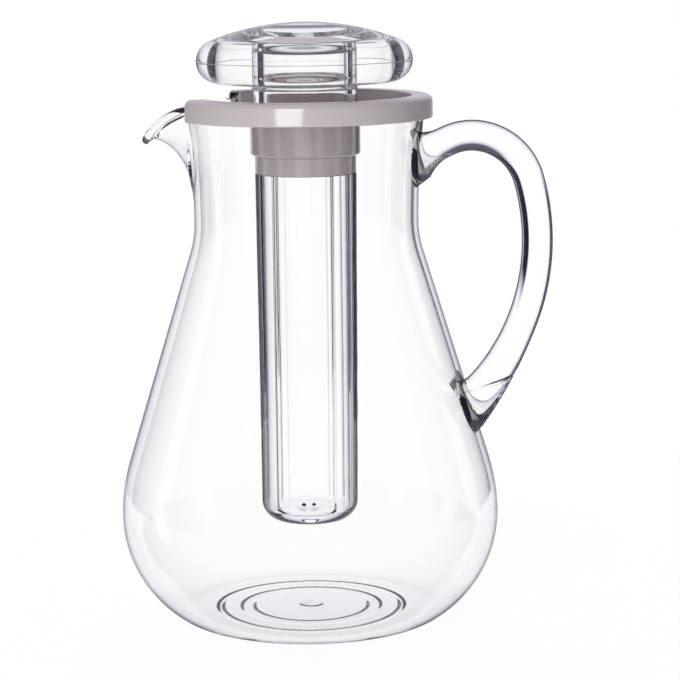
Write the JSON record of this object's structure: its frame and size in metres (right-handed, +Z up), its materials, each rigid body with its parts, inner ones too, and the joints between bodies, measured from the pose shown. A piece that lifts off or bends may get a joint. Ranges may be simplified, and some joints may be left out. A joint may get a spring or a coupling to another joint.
{
  "type": "pitcher with ice core",
  "caption": "Clear pear-shaped pitcher with a beak spout and bow handle, a grey lid with a hollow clear knob, and a fluted ice tube hung from the lid.",
  "frame": {"origin": "on the jug's axis, at the table, in the middle of the base", "axes": "+Z up along the jug's axis, the handle along +X, the spout along -X"},
  "size_m": [0.1894, 0.164, 0.259],
  "materials": {
    "clear_plastic": "clear, polished",
    "grey_plastic": "moulded, glossy",
    "seal_rubber": "soft, satin"
  },
  "bodies": {
    "jug": {"jug_body": "clear_plastic", "handle": "clear_plastic"},
    "lid": {"lid": "grey_plastic", "lid_seal": "seal_rubber"},
    "knob": {"knob_base": "clear_plastic", "knob_top": "clear_plastic", "knob_o_ring": "seal_rubber"},
    "tube": {"ice_tube": "clear_plastic", "tube_collar": "grey_plastic", "tube_o_ring": "seal_rubber"}
  },
  "joints": [
    {"name": "lid_lift", "type": "slide", "parent": "jug", "child": "lid", "axis": [0, 0, 1], "range_m": [0, 0.19]},
    {"name": "knob_lift", "type": "slide", "parent": "lid", "child": "knob", "axis": [0, 0, 1], "range_m": [0, 0.045]},
    {"name": "tube_pull", "type": "slide", "parent": "lid", "child": "tube", "axis": [0, 0, -1], "range_m": [0, 0.03]}
  ]
}
